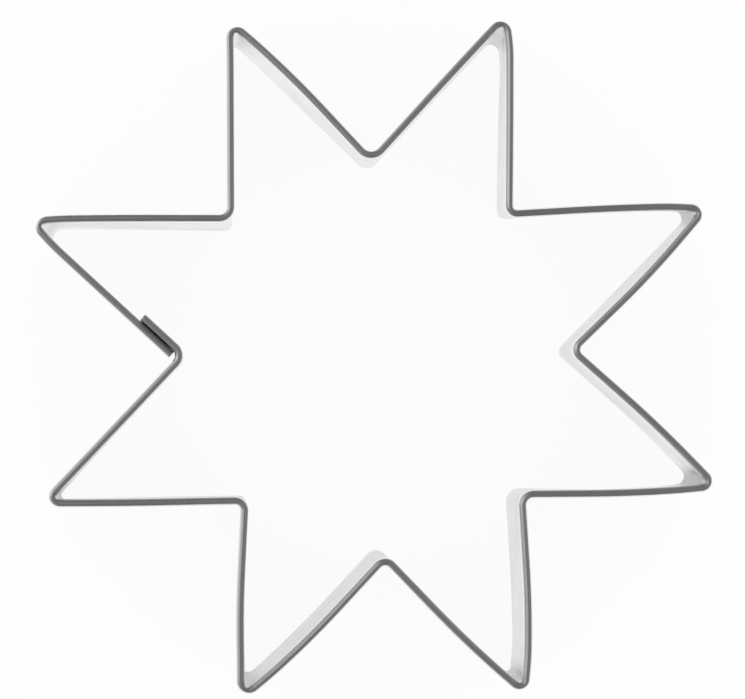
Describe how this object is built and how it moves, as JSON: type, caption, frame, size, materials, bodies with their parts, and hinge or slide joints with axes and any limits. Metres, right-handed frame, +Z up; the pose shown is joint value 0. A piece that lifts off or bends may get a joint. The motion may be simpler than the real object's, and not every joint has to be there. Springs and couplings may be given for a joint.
{
  "type": "cookie cutter",
  "caption": "Open star-shaped cookie cutter of bent sheet steel: a hemmed round bead on top to press on, a plain thin cutting edge below, and a spot-welded lap where the strip's ends meet",
  "frame": {"origin": "middle of the outline, on the plane of the cutting edge that the cutter stands on", "axes": "+Z is up, from the cutting edge to the hemmed edge; X runs to the right and Y to the back as the star lies in the picture, with the lap on the left"},
  "size_m": [0.0848, 0.0842, 0.025],
  "materials": {
    "sheet_steel": "bright rolled stainless sheet, lightly handled",
    "weld_steel": "dull pressed weld marks with a faint heat tint"
  },
  "bodies": {
    "root": {"star_band": "sheet_steel", "spot_welds": "weld_steel"}
  },
  "joints": []
}
